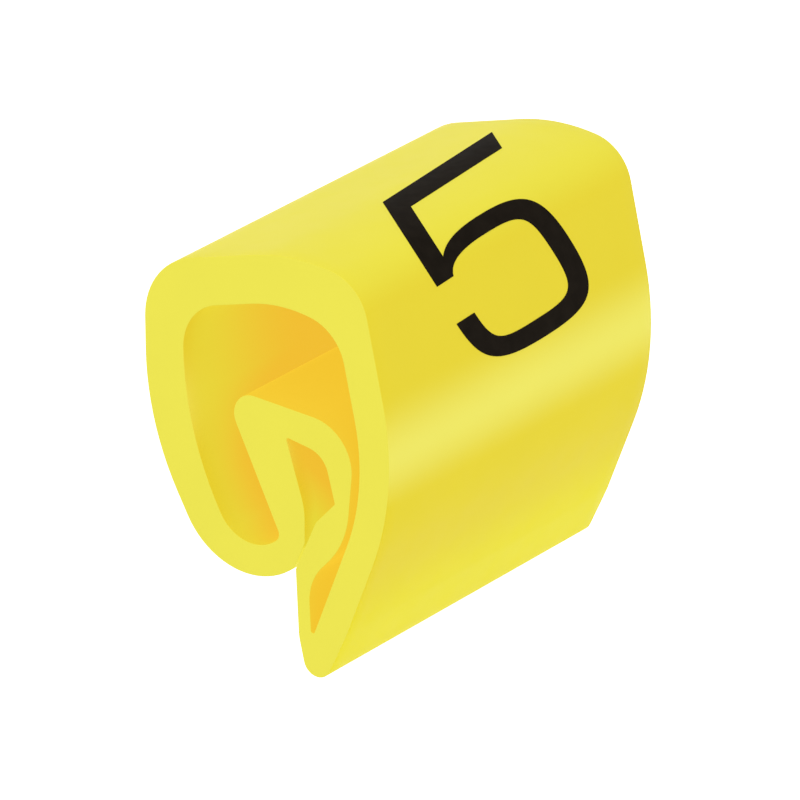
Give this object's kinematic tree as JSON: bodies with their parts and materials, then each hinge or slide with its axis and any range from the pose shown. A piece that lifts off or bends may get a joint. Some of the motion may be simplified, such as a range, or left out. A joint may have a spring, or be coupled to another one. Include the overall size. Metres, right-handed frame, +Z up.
{
  "type": "cable marker",
  "caption": "Soft yellow sleeve marker for a cable, cut from a folded profile whose sprung tongue grips a range of cable sizes.",
  "frame": {"origin": "middle of the cable's passage, on the cable's axis and halfway along the sleeve", "axes": "+Y along the cable's axis from the front cut end to the rear one, +Z up from the folded tongue towards the crown, +X to the right seen from the front"},
  "size_m": [0.0077, 0.0116, 0.0113],
  "materials": {
    "soft_pvc": "satin flexible PVC, yellow"
  },
  "bodies": {
    "root": {"marker_sleeve": "soft_pvc"}
  },
  "joints": []
}
